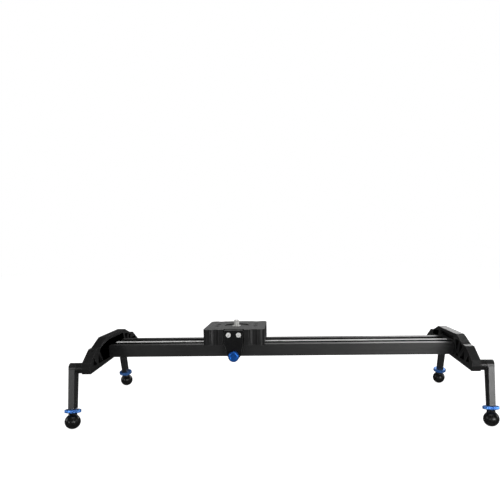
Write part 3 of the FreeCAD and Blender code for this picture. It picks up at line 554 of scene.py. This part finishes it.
def build_foot_balls():
    """Rubber balls, each with a short neck that a small fillet joins to it."""
    neck = 6.5 * MM
    neck_height = 1.6 * MM
    chamfer_width = 0.4 * MM
    chamfer_height = 0.5 * MM
    fillet_angle = 0.05
    steps = 64
    for corner in CORNERS:
        direction = -Vector(JOINTS[f"foot_height_{corner}"]["axis"])
        low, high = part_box(f"foot_ball_{corner}")
        radius = (high.x - low.x) / 2
        centre = Vector(((low.x + high.x) / 2, (low.y + high.y) / 2, low.z + radius))
        neck_top = radius + neck_height
        meet = math.asin(neck / radius)
        meet_height = radius * math.cos(meet)
        arc = [(radius * math.sin(angle), -radius * math.cos(angle))
               for angle in (math.pi * step / steps for step in range(steps + 1))
               if angle < math.pi - meet - fillet_angle]
        profile = arc + [(neck + 0.25 * MM, meet_height + 0.35 * MM), (neck, meet_height + 0.9 * MM),
                         (neck, neck_top - chamfer_height), (neck - chamfer_width, neck_top),
                         (0, neck_top)]
        mesh = lathe(f"foot_ball_{corner}_rubber", profile, segments=96)
        mesh.transform(along(direction, centre))
        piece = add_piece(f"foot_ball_{corner}_rubber", mesh, f"foot_{corner}", "ball_rubber",
                          smooth_angle=50)
        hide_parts(f"foot_ball_{corner}")


# ---------------------------------------------------------------- softened castings and machined parts

# how far each node's rounding cuts back from its corners, in mm
EDGE_ROUNDING = {
    "track_extrusion": 0.35, "guide_strip": 0.15, "bracket_left": 0.7, "bracket_right": 0.7,
    "carriage_body": 0.45, "clamp_block": 0.9, "clamp_screws": 0.4, "bracket_screws_left": 0.4,
    "bracket_screws_right": 0.4, "pivot_washers": 0.15, "stud_nut": 0.4, "roller_nuts": 0.3,
    "roller_bolts": 0.25, "brake_pad": 0.2,
}
for corner_name in CORNERS:
    EDGE_ROUNDING[f"leg_{corner_name}"] = 0.9
    EDGE_ROUNDING[f"pivot_bolt_{corner_name}"] = 0.4
    EDGE_ROUNDING[f"roller_{corner_name}"] = 0.25

for cad_node, rounding in EDGE_ROUNDING.items():
    soften(cad_node, rounding * MM)
build_foot_rods()
build_camera_stud()
build_lock_nuts()
build_lock_knob()
build_foot_balls()


# ---------------------------------------------------------------- studio

STAGE_RADIUS = 8.0
WORLD_STRENGTH = 0.07

# name, place, the point that it is aimed at, width, height, radiance
SOFTBOXES = (
    ("key_right", (0.64, -1.0, 0.21), (0.25, 0, 0.1), 0.45, 0.3, 10.5),
    ("front_middle", (0.32, -1.4, 0.24), (0.12, 0, 0.1), 0.45, 0.3, 5),
    ("low_right", (1.35, -2.3, 0.4), (0.33, 0, 0.05), 0.9, 0.5, 2),
    ("low_left", (-1.5, -2.3, 0.36), (-0.33, 0, 0.05), 0.7, 0.5, 6),
    ("back_low", (0.85, 2.4, 0.5), (0, 0, 0.1), 1.5, 0.4, 1.0),
    ("back_left", (-0.4, 2.4, 0.48), (0, 0, 0.1), 1.0, 0.4, 0.2),
    ("back_right", (1.15, 2.2, 1.15), (0.2, 0, 0.1), 1.3, 0.9, 3.8),
    ("back_middle", (-0.2, 2.3, 1.2), (0, 0, 0.1), 1.2, 0.6, 1.4),
    ("side_left", (-2.4, -0.2, 0.7), (-0.3, 0, 0.1), 1.2, 0.9, 2.2),
    ("side_right", (2.4, 0.3, 0.7), (0.3, 0, 0.1), 1.2, 0.9, 2.2),
    ("overhead", (0.1, -0.2, 2.2), (0, 0, 0.1), 1.4, 1.4, 2.4),
)


def build_floor():
    """A white floor that doesn't show in the black parts' gloss."""
    bpy.ops.mesh.primitive_plane_add(size=2 * STAGE_RADIUS, location=(0, 0, cad_box[0][2]))
    floor = bpy.context.object
    floor.name = "studio_floor"
    nodes = Nodes("studio_floor")
    grain = nodes.noise(2.5, 3)
    nodes.link(nodes.ramp(grain, [(0.3, (0.5, 0.5, 0.5)), (0.7, (0.54, 0.54, 0.54))]),
               nodes.shader.inputs["Base Color"])
    nodes.set(Roughness=0.9, Specular_IOR_Level=0.0, Emission_Color=(1, 1, 1, 1), Emission_Strength=0.97)
    floor.data.materials.append(nodes.material)
    floor.visible_glossy = False


def build_backdrop():
    """A white dome all round, which the camera sees and which lights nothing."""
    bpy.ops.mesh.primitive_uv_sphere_add(radius=STAGE_RADIUS * 0.98, segments=48, ring_count=24)
    dome = bpy.context.object
    dome.name = "studio_backdrop"
    nodes = Nodes("studio_backdrop")
    nodes.set(Base_Color=(0, 0, 0, 1), Roughness=1.0, Specular_IOR_Level=0.0,
              Emission_Color=(1, 1, 1, 1), Emission_Strength=1.0)
    dome.data.materials.append(nodes.material)
    dome.visible_diffuse = False
    dome.visible_glossy = False
    dome.visible_shadow = False
    dome.visible_transmission = False


def build_camera():
    """A camera just in front of the slider, looking a little down at it."""
    data = bpy.data.cameras.new("camera")
    data.lens = 33.15
    data.sensor_width = 36
    data.shift_x = -0.0585
    data.shift_y = 0.15
    camera = bpy.data.objects.new("camera", data)
    camera.location = (0.0114, -0.825, 0.2686)
    pitch, yaw, roll = math.radians(8.49), math.radians(-0.94), math.radians(-0.71)
    camera.matrix_world = (Matrix.Translation(camera.location) @ Matrix.Rotation(-yaw, 4, "Z")
                           @ Matrix.Rotation(math.pi / 2 - pitch, 4, "X") @ Matrix.Rotation(roll, 4, "Z"))
    bpy.context.scene.collection.objects.link(camera)
    bpy.context.scene.camera = camera


def add_softbox(name, place, target, width, height, radiance):
    """A rectangular light of a given brightness, aimed at a point."""
    data = bpy.data.lights.new(name, "AREA")
    data.shape = "RECTANGLE"
    data.size = width
    data.size_y = height
    data.energy = radiance * math.pi * width * height
    light = bpy.data.objects.new(name, data)
    light.location = place
    aim = Vector(target) - Vector(place)
    light.rotation_euler = aim.to_track_quat("-Z", "Y").to_euler()
    light.visible_camera = False
    bpy.context.scene.collection.objects.link(light)


def build_lights():
    world = bpy.data.worlds.new("studio")
    world.use_nodes = True
    background = world.node_tree.nodes["Background"]
    background.inputs["Color"].default_value = (1, 1, 1, 1)
    background.inputs["Strength"].default_value = WORLD_STRENGTH
    bpy.context.scene.world = world
    for softbox in SOFTBOXES:
        add_softbox(*softbox)
    bpy.context.scene.view_settings.view_transform = "Standard"


build_camera()
build_lights()
build_floor()
build_backdrop()
